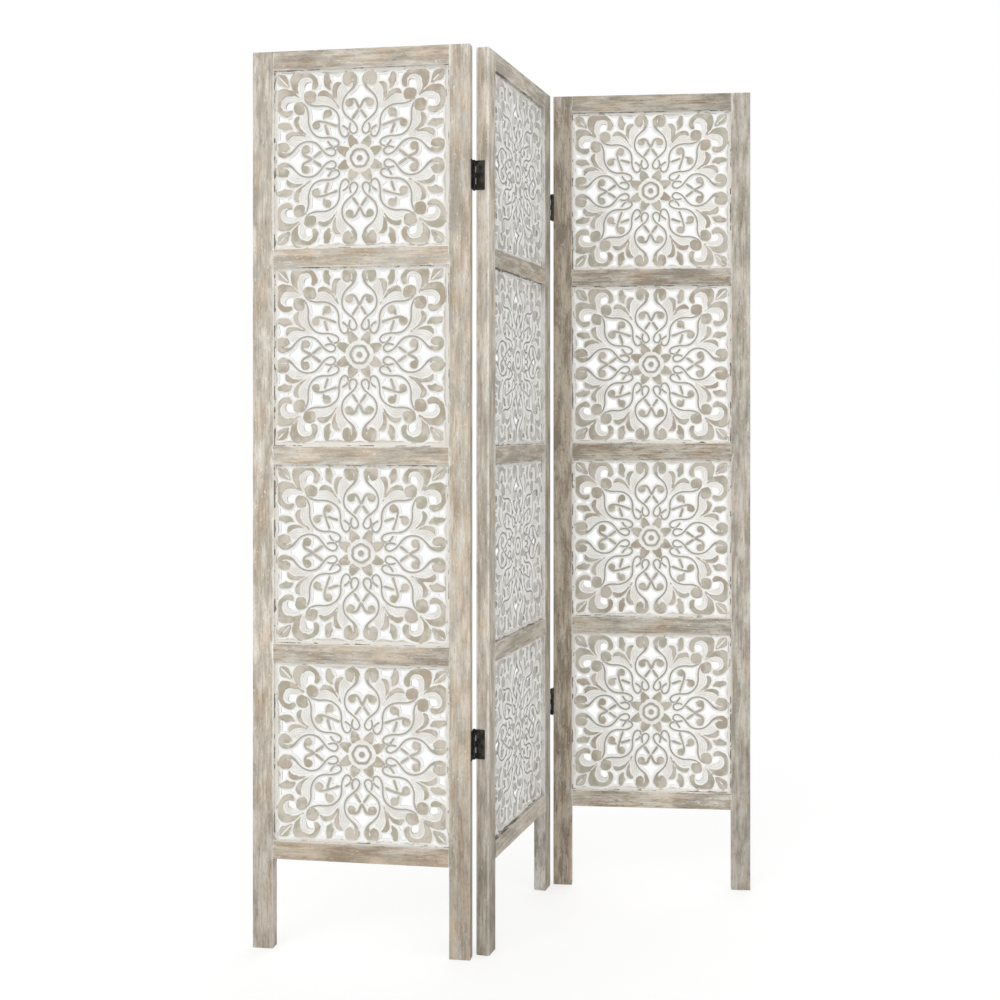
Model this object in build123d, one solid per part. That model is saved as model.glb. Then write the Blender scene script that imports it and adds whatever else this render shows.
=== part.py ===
"""Three-leaf folding screen with pierced, carved square panels.

Each leaf is a frame of two full-height stiles and a set of rails, doweled
together, with the carved panels held in grooves. Butt hinges screwed to the
stile edges join the leaves, one fold opening each way.

Axes: +Z up, X across the screen, Y from front to back. The origin is on the
floor, in the middle of the box around the screen as it stands.
"""

from build123d import *
import os

# ---- Driving dimensions, in millimetres and degrees ----

# Leaf frame
leaf_height = 1700.0
leaf_width = 420.0
leaf_thickness = 25.0
stile_width = 40.0
rail_height = 35.0
leg_length = 170.0  # stile below the bottom rail
panel_count = 4  # carved panels in one leaf
edge_round = 1.5  # eased corners of stiles and rails

# Dowels that join a rail's end to a stile, two at each end
dowel_diameter = 8.0
dowel_length = 40.0
dowel_spacing = 12.0  # between the two centres
dowel_clearance = 0.05  # round the dowel in its hole
dowel_end_gap = 0.5  # glue space at each end of a dowel

# Carved panels
panel_thickness = 9.0
panel_tongue = 6.0  # panel edge held inside the frame
groove_clearance = 0.25  # round the tongue in its groove
fret_border = 11.0  # plain wood between the frame and the nearest piercing

# Butt hinges
hinge_length = 55.0
hinge_below_top = 240.0  # top of a stile to the upper hinge's middle
hinge_above_floor = 395.0  # floor to the lower hinge's middle
hinge_plate_width = 17.0  # on the stile edge
hinge_plate_thickness = 1.6
side_knuckles = 2  # on the side leaf's plate; the middle leaf's has one more
knuckle_diameter = 6.0
knuckle_gap = 0.3  # between neighbouring knuckles
axis_beyond_edge = 2.5  # hinge axis to the stile edge
axis_beyond_face = 3.25  # hinge axis to the leaf's face
pin_diameter = 3.0
pin_clearance = 0.05
pin_head_diameter = 4.6
pin_head_height = 1.4

# Countersunk screws in the hinge plates
screw_spacing = 32.0
screw_diameter = 3.0
screw_head_diameter = 6.4
screw_length = 14.0  # below the plate
screw_clearance = 0.05
slot_width = 0.9
slot_depth = 0.7

# How the screen stands
middle_heading = 72.3  # middle leaf's turn from the X axis
left_fold = 98.7  # angle between the left and middle leaves
right_fold = 102.3  # angle between the middle and right leaves

# ---- Worked out from the driving dimensions ----

straight = 180.0
opening_width = leaf_width - 2 * stile_width
opening_height = (leaf_height - leg_length - (panel_count + 1) * rail_height) / panel_count
pitch = opening_height + rail_height
mid_thickness = leaf_thickness / 2
groove_width = panel_thickness + 2 * groove_clearance
groove_depth = panel_tongue + groove_clearance
hinge_heights = {
    "upper": leaf_height - hinge_below_top,
    "lower": hinge_above_floor,
}
knuckle_count = 2 * side_knuckles + 1
knuckle_pitch = hinge_length / knuckle_count

LOW = (Align.MIN, Align.MIN, Align.MIN)
MIDDLE = (Align.CENTER, Align.CENTER, Align.CENTER)

# ---- Fretwork ----
# Piercings of one eighth of the square motif, drawn from its centre with Y up.
# Turning and mirroring give the others, and the whole drawing is scaled to
# fill a panel's opening up to the border.

fret_openings = {
    "axis_eye": [(0, 137), (-16.5, 117), (0, 109)],
    "axis_heart": [(0, 83), (-8.5, 73), (0, 63)],
    "axis_cheek": [(-25, 94), (-9.5, 95.5), (-16.5, 81.5)],
    "diagonal_eye": [(-90.5, 90.5), (-74, 90.5), (-74, 74)],
    "diagonal_heart": [(-58, 58), (-46.5, 56.5), (-44, 44)],
    "diagonal_cheek": [(-52, 82), (-46, 68.5), (-61, 72)],
    "shoulder": [(-32, 77), (-22.5, 71), (-23.5, 62.5), (-33.5, 67)],
    "scroll": [(-110, 133), (-107.5, 142), (-101, 145.5), (-95.5, 141.5), (-96.5, 134), (-104, 131.5)],
    "border": [(-52.5, 155.5), (-36, 159), (-39, 148.5), (-46, 146.5)],
}
fret_beads = [(0, 40, 3.2), (-28.3, 28.3, 3.2)]  # x, y and radius, round the middle


def mirrored_outline(points):
    """Close a half outline that ends on the axis or the diagonal."""
    first = points[0]
    if first[0] == 0:
        return points + [(-x, y) for x, y in reversed(points[1:-1])]
    if first[0] == -first[1]:
        return points + [(-y, -x) for x, y in reversed(points[1:-1])]
    return points


def eight_ways(outline):
    """The outline turned to four sides, and mirrored if it isn't its own mirror."""
    closed = mirrored_outline(outline)
    shapes = [closed] if len(closed) > len(outline) else [closed, [(-x, y) for x, y in closed]]
    turned = []
    for shape in shapes:
        for _ in range(4):
            shape = [(-y, x) for x, y in shape]
            turned.append(shape)
    return turned


def fret_wires():
    """Outlines of every piercing in the panel, at the panel's own size."""
    reach = max(abs(place) for outline in fret_openings.values() for point in outline for place in point)
    across = (opening_width / 2 - fret_border) / reach
    up = (opening_height / 2 - fret_border) / reach
    wires = []
    for outline in fret_openings.values():
        for shape in eight_ways(outline):
            corners = [Vector(x * across, y * up) for x, y in shape]
            wires.append(Wire.make_polygon(corners, close=True))
    for x, y, radius in fret_beads:
        for _ in range(4):
            x, y = -y, x
            bead = Wire.make_circle(radius * min(across, up))
            wires.append(bead.moved(Pos(x * across, y * up)))
    return wires


def carved_panel():
    """Pierced panel, centred, with its edge that sits in the grooves."""
    width = opening_width + 2 * panel_tongue
    height = opening_height + 2 * panel_tongue
    outline = Wire.make_rect(width, height)
    board = extrude(Face(outline, fret_wires()), panel_thickness / 2, both=True)
    return Rot(90, 0, 0) * board


# ---- Frame pieces, each in its leaf's own place ----
# A leaf stands with its left front corner on the origin.


def opening_bottom(number):
    """Bottom of a panel opening, counted from the top of the leaf."""
    return leg_length + rail_height + (panel_count - number) * pitch


def rail_bottom(number):
    """Underside of a rail, counted from the top of the leaf."""
    return leg_length + (panel_count + 1 - number) * pitch


def dowel_heights():
    """Heights of all the dowels on one side of a leaf."""
    heights = []
    for number in range(1, panel_count + 2):
        middle = rail_bottom(number) + rail_height / 2
        heights += [middle - dowel_spacing / 2, middle + dowel_spacing / 2]
    return heights


def bar_along_x(diameter, length):
    """Cylinder from the origin along +X."""
    bar = Cylinder(diameter / 2, length, align=(Align.CENTER, Align.CENTER, Align.MIN))
    return Rot(0, 90, 0) * bar


def dowel_holes(joint_x):
    """Holes for the dowels across the joint at joint_x, for every rail."""
    reach = dowel_length / 2 + dowel_end_gap
    hole = bar_along_x(dowel_diameter + 2 * dowel_clearance, 2 * reach)
    return [Pos(joint_x - reach, mid_thickness, z) * hole for z in dowel_heights()]


def stile(side, hinge_faces):
    """A stile on the left or right; hinge_faces lists where its plates lie."""
    left = side == "left"
    outer_x = 0.0 if left else leaf_width
    inner_x = stile_width if left else leaf_width - stile_width
    post = Box(stile_width, leaf_thickness, leaf_height, align=LOW)
    eased = post.edges() - post.faces().sort_by(Axis.Z)[0].edges()
    post = Pos(min(outer_x, inner_x), 0, 0) * fillet(eased, edge_round)
    groove = Box(2 * groove_depth, groove_width, opening_height + 2 * groove_depth, align=MIDDLE)
    cuts = dowel_holes(inner_x)
    for number in range(1, panel_count + 1):
        middle = opening_bottom(number) + opening_height / 2
        cuts.append(Pos(inner_x, mid_thickness, middle) * groove)
    for axis_y in hinge_faces:
        cuts += [pilot.moved(Pos(outer_x, 0, 0)) for pilot in pilot_holes(left, axis_y)]
    return post - cuts


def rail(number):
    """A rail between the stiles, grooved where it meets a panel."""
    bar = Box(opening_width, leaf_thickness, rail_height, align=LOW)
    eased = bar.edges().filter_by(Axis.X)
    bar = Pos(stile_width, 0, rail_bottom(number)) * fillet(eased, edge_round)
    groove = Box(opening_width, groove_width, 2 * groove_depth, align=MIDDLE)
    cuts = dowel_holes(stile_width) + dowel_holes(leaf_width - stile_width)
    grooved = []
    if number > 1:
        grooved.append(rail_bottom(number) + rail_height)
    if number <= panel_count:
        grooved.append(rail_bottom(number))
    for height in grooved:
        cuts.append(Pos(leaf_width / 2, mid_thickness, height) * groove)
    return bar - cuts


def leaf_dowels():
    """Every dowel of one leaf."""
    dowel = bar_along_x(dowel_diameter, dowel_length)
    dowel = chamfer(dowel.edges().filter_by(GeomType.CIRCLE), dowel_end_gap)
    joints = (stile_width, leaf_width - stile_width)
    return Compound(
        [
            Pos(joint_x - dowel_length / 2, mid_thickness, z) * dowel
            for joint_x in joints
            for z in dowel_heights()
        ]
    )


# ---- Hinges ----
# A hinge plate is made with its axis on Z and its leaf towards +X and +Y:
# the stile edge is at x = axis_beyond_edge and the leaf's face, on the side
# of the knuckles, at y = axis_beyond_face.

plate_outer_x = axis_beyond_edge - hinge_plate_thickness
screw_y = axis_beyond_face + hinge_plate_width / 2
screw_heights = (-screw_spacing / 2, screw_spacing / 2)


def knuckle_spans(even):
    """Bottom and top of every second knuckle, from the hinge's middle."""
    spans = []
    for index in range(0 if even else 1, knuckle_count, 2):
        bottom = index * knuckle_pitch - hinge_length / 2
        low = bottom + (knuckle_gap / 2 if index else 0)
        last = index == knuckle_count - 1
        high = bottom + knuckle_pitch - (0 if last else knuckle_gap / 2)
        spans.append((low, high))
    return spans


def countersink():
    """Hole for one screw through a plate, along +X from its outer face."""
    bore = bar_along_x(screw_diameter + 2 * screw_clearance, hinge_plate_thickness)
    head = Cone(
        screw_head_diameter / 2 + screw_clearance,
        screw_diameter / 2 + screw_clearance,
        hinge_plate_thickness,
        align=(Align.CENTER, Align.CENTER, Align.MIN),
    )
    return bore + Rot(0, 90, 0) * head


def hinge_plate(even):
    """One plate with its knuckles, bored for the pin and the screws."""
    plate = Pos(plate_outer_x, axis_beyond_face, -hinge_length / 2) * Box(
        hinge_plate_thickness, hinge_plate_width, hinge_length, align=LOW
    )
    for low, high in knuckle_spans(even):
        height = high - low
        neck = Box(hinge_plate_thickness, axis_beyond_face, height, align=LOW)
        knuckle = Cylinder(
            knuckle_diameter / 2, height, align=(Align.CENTER, Align.CENTER, Align.MIN)
        )
        plate += Pos(plate_outer_x, 0, low) * neck
        plate += Pos(0, 0, low) * knuckle
    plate -= Cylinder(pin_diameter / 2 + pin_clearance, hinge_length, align=MIDDLE)
    for z in screw_heights:
        plate -= Pos(plate_outer_x, screw_y, z) * countersink()
    return plate


def hinge_pin():
    """Pin with a domed head at each end."""
    pin = Cylinder(pin_diameter / 2, hinge_length, align=MIDDLE)
    for end in (-1, 1):
        head = Cylinder(
            pin_head_diameter / 2,
            pin_head_height,
            align=(Align.CENTER, Align.CENTER, Align.MIN),
        )
        rim = head.edges().filter_by(GeomType.CIRCLE).sort_by(Axis.Z)[-1]
        head = Pos(0, 0, hinge_length / 2) * fillet(rim, pin_head_height / 2)
        pin += head if end > 0 else mirror(head, about=Plane.XY)
    return pin


def hinge_screws():
    """The countersunk screws of one plate."""
    shank_length = hinge_plate_thickness + screw_length
    shank = bar_along_x(screw_diameter, shank_length)
    tip = shank.edges().filter_by(GeomType.CIRCLE).sort_by(Axis.X)[-1]
    shank = chamfer(tip, screw_diameter / 3)
    head = Cone(
        screw_head_diameter / 2,
        screw_diameter / 2,
        hinge_plate_thickness,
        align=(Align.CENTER, Align.CENTER, Align.MIN),
    )
    screw = shank + Rot(0, 90, 0) * head
    screw -= Box(2 * slot_depth, slot_width, screw_head_diameter + 1, align=MIDDLE)
    return Compound([Pos(plate_outer_x, screw_y, z) * screw for z in screw_heights])


def edge_facing(left, axis_y):
    """Turn a hinge piece to a leaf's edge, its axis in front of or behind the leaf."""
    piece_to_edge = Pos(-axis_beyond_edge if left else axis_beyond_edge, axis_y, 0)
    behind = axis_y > 0
    if left and not behind:
        return piece_to_edge
    if not left and behind:
        return piece_to_edge * Rot(0, 0, straight)
    # The other two come from the same plate turned end for end.
    return piece_to_edge * (Rot(straight, 0, 0) if left else Rot(0, straight, 0))


def pilot_holes(left, axis_y):
    """Holes for hinge screws in a stile edge at x = 0, at both hinges."""
    depth = screw_length + screw_clearance
    pilot = bar_along_x(screw_diameter + 2 * screw_clearance, depth)
    turn = edge_facing(left, axis_y)
    return [
        Pos(0, 0, height) * turn * Pos(axis_beyond_edge, screw_y, z) * pilot
        for height in hinge_heights.values()
        for z in screw_heights
    ]


# ---- The three leaves ----

behind_leaf = leaf_thickness + axis_beyond_face
before_leaf = -axis_beyond_face

# The folds' axes in the middle leaf's own place.
left_axis = (-axis_beyond_edge, behind_leaf)
right_axis = (leaf_width + axis_beyond_edge, before_leaf)

middle_place = Rot(0, 0, middle_heading)
leaf_places = {
    "left": middle_place
    * Pos(*left_axis)
    * Rot(0, 0, left_fold - straight)
    * Pos(-leaf_width - axis_beyond_edge, -behind_leaf),
    "middle": middle_place,
    "right": middle_place
    * Pos(*right_axis)
    * Rot(0, 0, right_fold - straight)
    * Pos(axis_beyond_edge, -before_leaf),
}

# Where each stile carries hinges: the side of the leaf that the axis is on.
stile_hinges = {
    ("left", "right"): [behind_leaf],
    ("middle", "left"): [behind_leaf],
    ("middle", "right"): [before_leaf],
    ("right", "left"): [before_leaf],
}


def build_leaf(leaf):
    """All pieces of one leaf's frame and its panels, in the leaf's own place."""
    pieces = {}
    for side in ("left", "right"):
        pieces[f"{leaf}_leaf_{side}_stile"] = stile(side, stile_hinges.get((leaf, side), []))
    for number in range(1, panel_count + 2):
        pieces[f"{leaf}_leaf_rail_{number}"] = rail(number)
    panel = carved_panel()
    for number in range(1, panel_count + 1):
        middle = opening_bottom(number) + opening_height / 2
        place = Pos(leaf_width / 2, mid_thickness, middle)
        pieces[f"{leaf}_leaf_panel_{number}"] = place * panel
    pieces[f"{leaf}_leaf_dowels"] = leaf_dowels()
    return pieces


def build_hinges(fold, side_leaf):
    """Both hinges of one fold, each piece keyed with the leaf that carries it."""
    axis_y = behind_leaf if fold == "left" else before_leaf
    # The side leaf meets the middle leaf with its opposite edge.
    edges = {"middle": fold == "left", side_leaf: fold != "left"}
    pieces = {}
    screws = {leaf: [] for leaf in edges}
    for level, height in hinge_heights.items():
        for leaf, left in edges.items():
            edge_x = 0.0 if left else leaf_width
            place = Pos(edge_x, 0, height) * edge_facing(left, axis_y)
            name = f"{fold}_fold_{level}_hinge"
            if leaf == "middle":
                pieces[f"{name}_middle_plate"] = (leaf, place * hinge_plate(even=True))
                pieces[f"{name}_pin"] = (leaf, place * hinge_pin())
            else:
                pieces[f"{name}_side_plate"] = (leaf, place * hinge_plate(even=False))
            screws[leaf] += (place * hinge_screws()).solids()
    for leaf, solids in screws.items():
        pieces[f"{leaf}_leaf_{fold}_fold_screws"] = (leaf, Compound(solids))
    return pieces


def build_screen():
    """Every node's solid, with the middle leaf's corner on the origin."""
    placed = {}
    for leaf, place in leaf_places.items():
        for name, piece in build_leaf(leaf).items():
            placed[name] = place * piece
    for fold, side_leaf in (("left", "left"), ("right", "right")):
        for name, (leaf, piece) in build_hinges(fold, side_leaf).items():
            placed[name] = leaf_places[leaf] * piece
    return placed


def to_origin(placed):
    """Shift that puts the origin on the floor, in the middle of the whole box."""
    solids = [solid for piece in placed.values() for solid in piece.solids()]
    box = Compound(solids).bounding_box()
    return Pos(-box.center().X, -box.center().Y, -box.min.Z)


if __name__ == "__main__":
    os.makedirs("parts", exist_ok=True)
    screen = build_screen()
    shift = to_origin(screen)
    for name, piece in screen.items():
        export_step(shift * piece, f"parts/{name}.step")
        print(name, len(piece.solids()), round(piece.volume))
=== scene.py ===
"""A folding screen of three hinged leaves: whitewashed wooden frames round carved, pierced panels."""

import math
from collections import namedtuple

import bpy
import numpy as np
from mathutils import Matrix, Vector


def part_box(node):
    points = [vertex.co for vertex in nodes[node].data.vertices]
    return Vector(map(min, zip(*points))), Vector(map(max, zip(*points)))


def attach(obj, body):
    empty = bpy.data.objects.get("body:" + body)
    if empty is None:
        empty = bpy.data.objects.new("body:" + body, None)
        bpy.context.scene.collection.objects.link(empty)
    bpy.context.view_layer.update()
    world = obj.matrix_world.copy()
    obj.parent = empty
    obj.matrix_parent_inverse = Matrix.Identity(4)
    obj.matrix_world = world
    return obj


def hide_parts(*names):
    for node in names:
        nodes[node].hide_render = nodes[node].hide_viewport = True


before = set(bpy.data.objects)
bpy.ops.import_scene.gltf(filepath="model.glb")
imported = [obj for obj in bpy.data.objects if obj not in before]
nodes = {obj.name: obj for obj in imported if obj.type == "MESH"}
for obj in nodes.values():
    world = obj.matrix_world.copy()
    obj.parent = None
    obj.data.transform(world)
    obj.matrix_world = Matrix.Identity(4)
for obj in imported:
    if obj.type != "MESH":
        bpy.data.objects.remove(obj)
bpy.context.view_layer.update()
mm = 0.001  # metres

# ---- The carved pattern, in millimetres from the panel's middle, with Y up ----
# Shapes are drawn in the upper left quarter, whose mirror images fill the
# square. A line's points carry half of its width.

panel_half = 170.0
board_half_thickness = 4.5
web_half_thickness = 1.8  # what is left between the two carved faces
carving_depth = board_half_thickness - web_half_thickness
skirt = 3.3  # width of the slope round a raised shape
slope_curve = 1.3  # 1 for a straight slope, more for a hollow one
land = 1.5  # flat web beyond the slope
groove = 2.2  # between two raised shapes that meet
blade_level = 3.1  # height of the fluted leaves from the board's middle
blade_roll = 3.4  # width of their rounded edge
blade_skirt = 1.2  # how much of it lies outside the outline
blade_land = 2.2  # the wood that stays round them
flute_pitch = 4.4
flute_depth = 0.5
first_ridge = 2.6  # between two flutes, from the shape that they follow
vee_floor = 0.9  # of a V cut, above the web
vee_slope = 1.3
vee_lip = 1.0  # white strip each side of its floor
vee_reach = 4.0  # how far it is felt on a top
thinning = 3.0  # how far a tendril's finish takes to follow from its disc's
far = 12.0  # further than any slope reaches

axis_disc = [
    (-32.6, 150.0), (-31.4, 157.6), (-26.0, 162.6), (-18.5, 163.4), (-11.0, 160.4),
    (-6.3, 154.0), (-5.2, 147.5), (-7.4, 141.0), (-14.0, 139.0), (-22.0, 137.2),
    (-28.8, 139.6), (-32.0, 144.4),
]
axis_tendril = [
    (-9.4, 145.0, 3.6), (-10.4, 138.5, 2.8), (-14.2, 131.8, 2.0), (-21.7, 125.0, 1.5),
    (-28.6, 117.5, 1.5), (-32.6, 109.0, 1.5), (-34.0, 99.3, 1.5), (-32.3, 90.0, 1.5),
    (-28.0, 82.5, 1.5), (-20.0, 75.2, 1.5), (-10.7, 67.3, 1.5), (-6.0, 59.5, 1.5),
    (-4.7, 53.5, 1.5), (-8.0, 47.9, 1.5), (-13.8, 46.9, 1.5), (-18.2, 51.0, 1.5),
    (-19.4, 58.0, 1.6), (-17.9, 65.0, 1.7),
]
axis_disc_groove = [
    (-15.6, 152.5, 0.0), (-14.6, 147.5, 0.2), (-15.4, 142.0, 0.5), (-19.6, 136.2, 0.9),
]
outer_disc = [
    (-108.7, 120.0), (-105.0, 126.0), (-96.7, 128.3), (-89.0, 125.4), (-85.3, 119.0),
    (-85.6, 111.6), (-89.0, 107.2), (-96.7, 107.0), (-104.5, 109.6),
]
diagonal_tendril = [
    (-106.5, 113.5, 1.6), (-102.6, 107.2, 1.6), (-95.0, 102.2, 1.5), (-84.0, 99.8, 1.5),
    (-70.0, 99.8, 1.5), (-58.5, 97.0, 1.5), (-49.0, 91.0, 1.5), (-42.5, 82.5, 1.5),
    (-39.8, 72.0, 1.5), (-39.6, 60.0, 1.5), (-37.6, 50.0, 1.5), (-33.8, 42.8, 1.5),
    (-28.2, 39.9, 1.5), (-22.8, 43.2, 1.5), (-21.7, 50.0, 1.5), (-25.5, 56.5, 1.6),
    (-32.0, 60.9, 1.7),
]
outer_disc_groove = [(-101.5, 107.4, 0.0), (-96.0, 105.2, 0.4), (-84.0, 104.6, 0.8)]
inner_disc_radius = 7.5
axis_inner_disc = (-20.0, 104.8)
axis_tails = [  # from one disc of the pair to the other
    (-19.0, 110.6, 2.3), (-13.0, 111.2, 2.3), (-7.9, 108.4, 2.2), (-4.7, 102.5, 2.2), (-0.6, 94.2, 2.2),
    (0.6, 94.2, 2.2), (4.7, 102.5, 2.2), (7.9, 108.4, 2.2), (13.0, 111.2, 2.3), (19.0, 110.6, 2.3),
]
axis_bar = [(-3.8, 88.9, 2.2), (-12.2, 77.0, 2.5)]
over_disc = (-84.6, 63.4)
over_tail = [
    (-86.5, 69.2, 1.9), (-79.0, 71.0, 2.0), (-69.0, 69.4, 1.8), (-57.0, 65.6, 1.9),
    (-46.0, 61.6, 2.2),
]
under_disc = (-62.8, 85.2)
under_tail = [(-68.6, 85.0, 2.1), (-69.6, 76.8, 2.0)]
under_bar = [(-67.0, 62.4, 2.2), (-61.8, 46.5, 2.4)]
scroll = [
    (-126.5, 127.0), (-131.0, 134.0), (-133.5, 142.0), (-134.3, 150.5), (-131.5, 158.5),
    (-125.5, 163.8), (-117.0, 165.8), (-107.0, 165.4), (-97.5, 162.8), (-89.0, 157.3),
    (-83.3, 149.5), (-81.0, 141.0), (-83.3, 134.6), (-88.3, 131.4), (-92.6, 133.4),
    (-91.6, 139.5), (-91.8, 146.5), (-95.5, 152.0), (-102.0, 154.8), (-109.5, 154.2),
    (-116.2, 150.4), (-120.3, 143.0), (-121.0, 134.0), (-119.4, 124.5), (-114.5, 115.5),
]
scroll_blade = [
    (-93.5, 134.0), (-91.3, 140.0), (-91.7, 147.0), (-95.5, 152.4), (-102.0, 155.0),
    (-109.5, 154.4), (-116.2, 150.6), (-120.5, 143.0), (-121.2, 134.0), (-119.6, 124.5),
    (-112.5, 114.5), (-109.6, 121.0), (-109.6, 129.0), (-107.6, 136.5), (-102.5, 142.6),
    (-97.6, 142.6), (-96.2, 138.0),
]
corner_leaf = [
    (-161.0, 161.0), (-146.5, 160.0), (-140.6, 150.5), (-137.5, 137.5), (-150.5, 140.6),
    (-160.0, 146.5),
]
lens = [
    (-67.6, 159.5), (-61.5, 159.8), (-58.2, 151.5), (-55.2, 146.0), (-57.6, 139.0),
    (-57.4, 131.0), (-62.5, 133.0), (-68.0, 138.5), (-69.3, 149.0),
]
side_crescent = [
    (-36.6, 142.6), (-45.5, 143.0), (-50.8, 138.3), (-52.6, 131.0), (-51.8, 122.5),
    (-49.5, 114.0), (-46.0, 105.0), (-40.6, 96.0), (-43.6, 104.0), (-45.7, 114.0),
    (-45.8, 124.0), (-43.6, 132.5), (-40.0, 138.5),
]
top_crescent = [
    (-81.2, 118.2), (-78.0, 125.3), (-71.3, 128.4), (-64.0, 126.6), (-57.5, 122.2),
    (-52.0, 115.5), (-47.0, 106.5), (-41.0, 95.8), (-48.5, 104.6), (-55.5, 112.6),
    (-62.5, 117.4), (-70.0, 119.4), (-76.5, 118.6),
]
side_blade = [
    (-37.5, 141.5), (-29.0, 136.5), (-24.5, 129.0), (-29.5, 119.5), (-34.6, 111.0),
    (-37.2, 99.0), (-40.5, 92.5), (-43.5, 103.5), (-45.6, 114.0), (-45.6, 124.0),
    (-43.3, 133.0),
]
top_blade = [
    (-84.0, 115.0), (-77.0, 119.5), (-70.0, 119.8), (-62.0, 117.6), (-55.0, 112.5),
    (-48.0, 104.5), (-40.8, 95.5), (-45.0, 93.5), (-53.5, 97.5), (-64.0, 101.5),
    (-76.0, 102.6), (-86.5, 103.5),
]
petal_wedge = [
    (-19.9, 43.6), (-10.4, 38.8), (-2.6, 28.2), (-10.2, 25.8), (-18.3, 20.0), (-21.9, 31.0),
]
corner_start = 130.0  # the corner leaf lies beyond this both ways
corner_vein = [(-158.5, 158.5, 0.1), (-150.0, 150.0, 0.5), (-140.0, 140.0, 0.2)]
border_depths = [  # how far the plain border reaches in from the frame, by place along it
    (-12.0, 4.7), (0.0, 6.6), (12.0, 4.7), (23.5, 4.3), (35.0, 7.0), (44.0, 9.0),
    (54.0, 7.8), (68.0, 6.4), (83.0, 6.4), (95.0, 3.8), (107.0, 2.2), (120.0, 3.0),
    (133.0, 5.6), (150.0, 4.6), (180.0, 4.0),
]
# Low bridges of plain web that hold the open parts together.
bridges = [
    [(0.0, 158.0, 5.5), (0.0, 142.5, 5.5)],
    [(-80.0, 146.0, 4.6), (-70.0, 144.0, 4.6)],
    [(-41.5, 91.5, 5.0), (-38.5, 86.0, 4.0)],
    [(-88.0, 130.0, 3.5), (-80.0, 127.0, 3.0)],
    [(-139.6, 159.0, 3.6), (-137.0, 140.0, 3.2)],
]
middle_bridge = [(-44.0, 44.0, 6.5), (-34.0, 34.0, 8.0)]
beads = [(0.0, 39.8, 2.9), (-28.3, 28.3, 3.3)]  # small round piercings: x, y, radius
scroll_eye = [  # the piercing that the scroll curls round
    (-107.6, 130.4), (-108.3, 138.0), (-105.4, 143.4), (-99.5, 145.4), (-94.6, 143.2), (-93.8, 137.0),
    (-95.6, 131.8), (-101.0, 129.6),
]
dot_radius = 5.6
lobed_ring_radius = 15.4  # where the lobes meet
lobe_rise = 1.9
lobed_ring_half_width = 2.3
lobed_ring_reach = 20.4  # how far its finish goes
rope_ring_radius = 23.6
rope_ring_half_width = 3.7
rope_ring_rise = 1.9
flower_radius = 27.5
middle_radius = 49.0  # no piercing but the beads inside this
pattern_slips = {  # how far a board's pattern lies off its middle: across, up
    "left_leaf_carving_1": (-2.7, 0.0),
    "left_leaf_carving_2": (-3.6, 3.4),
    "left_leaf_carving_3": (-0.3, 2.8),
    "left_leaf_carving_4": (1.8, -2.2),
    "right_leaf_carving_1": (-1.5, -0.7),
    "right_leaf_carving_3": (0.0, 0.6),
}
# Boards that were fitted a quarter turn round.
turned_boards = ("left_leaf_carving_3", "right_leaf_carving_1", "right_leaf_carving_4")


# ---- How finely the boards are modelled, in millimetres ----

grid = 1.7  # size of a facet
table_step = 0.5  # spacing of the heights that are worked out once
table_margin = 8.0  # how far they reach beyond a board, for its slip and its wander
line_step = 1.6  # length of a curve's straight pieces
spine_pull = 0.5  # how far a facet's point may move onto a thin line, as a share of the facet
edge_pull = 0.42  # how far it may move onto an edge
crease_angle = math.radians(30)


# ---- Drawing and carving the pattern ----


def smooth_line(points, closed=False):
    """Closely spaced points along a curve through the given ones."""
    rows = np.array(points, float)
    count = len(rows)
    if closed:
        ends = [rows[(i + k) % count] for k in (-1, 0, 1, 2) for i in range(count)]
        before, start, end, after = np.array(ends).reshape(4, count, -1)
    else:
        padded = np.vstack([2 * rows[0] - rows[1], rows, 2 * rows[-1] - rows[-2]])
        before, start, end, after = padded[:-3], padded[1:-2], padded[2:-1], padded[3:]
    curve = []
    for a, b, c, d in zip(before, start, end, after):
        pieces = max(1, round(math.dist(b[:2], c[:2]) / line_step))
        t = np.arange(pieces)[:, None] / pieces
        curve.append(b + t / 2 * (c - a + t * (2 * a - 5 * b + 4 * c - d + t * (3 * (b - c) + d - a))))
    if not closed:
        curve.append(rows[-1:])
    return np.vstack(curve)


def across_diagonal(points):
    """The same points on the other side of the quarter's diagonal."""
    return [(-p[1], -p[0], *p[2:]) for p in points]


def from_segment(x, y, start, end):
    """How far each place is from a straight piece, and where along it the nearest point lies."""
    dx, dy = end[0] - start[0], end[1] - start[1]
    squared = dx * dx + dy * dy + 1e-9  # not 0 for a piece without length
    t = np.clip(((x - start[0]) * dx + (y - start[1]) * dy) / squared, 0, 1)
    return np.hypot(x - start[0] - t * dx, y - start[1] - t * dy), t


def line_depth(x, y, line):
    """How deep each place lies inside a line of varying width; less than 0 outside."""
    depth = np.full(x.shape, -np.inf)
    for start, end in zip(line[:-1], line[1:]):
        distance, t = from_segment(x, y, start, end)
        depth = np.maximum(depth, start[2] + t * (end[2] - start[2]) - distance)
    return depth


def outline_depth(x, y, line):
    """How deep each place lies inside a closed outline; less than 0 outside."""
    nearest = np.full(x.shape, np.inf)
    inside = np.zeros(x.shape, bool)
    for start, end in zip(line, np.roll(line, -1, axis=0)):
        nearest = np.minimum(nearest, from_segment(x, y, start, end)[0])
        (ax, ay), (bx, by) = start, end
        if by != ay:
            crosses = (ay > y) != (by > y)
            inside ^= crosses & (x < (bx - ax) * (y - ay) / (by - ay) + ax)
    return np.where(inside, nearest, -nearest)


def disc(centre, radius):
    """A round shape, as a line of one point."""
    x, y = centre
    return np.array([(x, y, radius), (x + 0.01, y, radius)])


def shape_depth(x, y, line):
    """Depth inside a line, whose points carry a width, or inside a closed outline."""
    return line_depth(x, y, line) if line.shape[1] == 3 else outline_depth(x, y, line)


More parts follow.
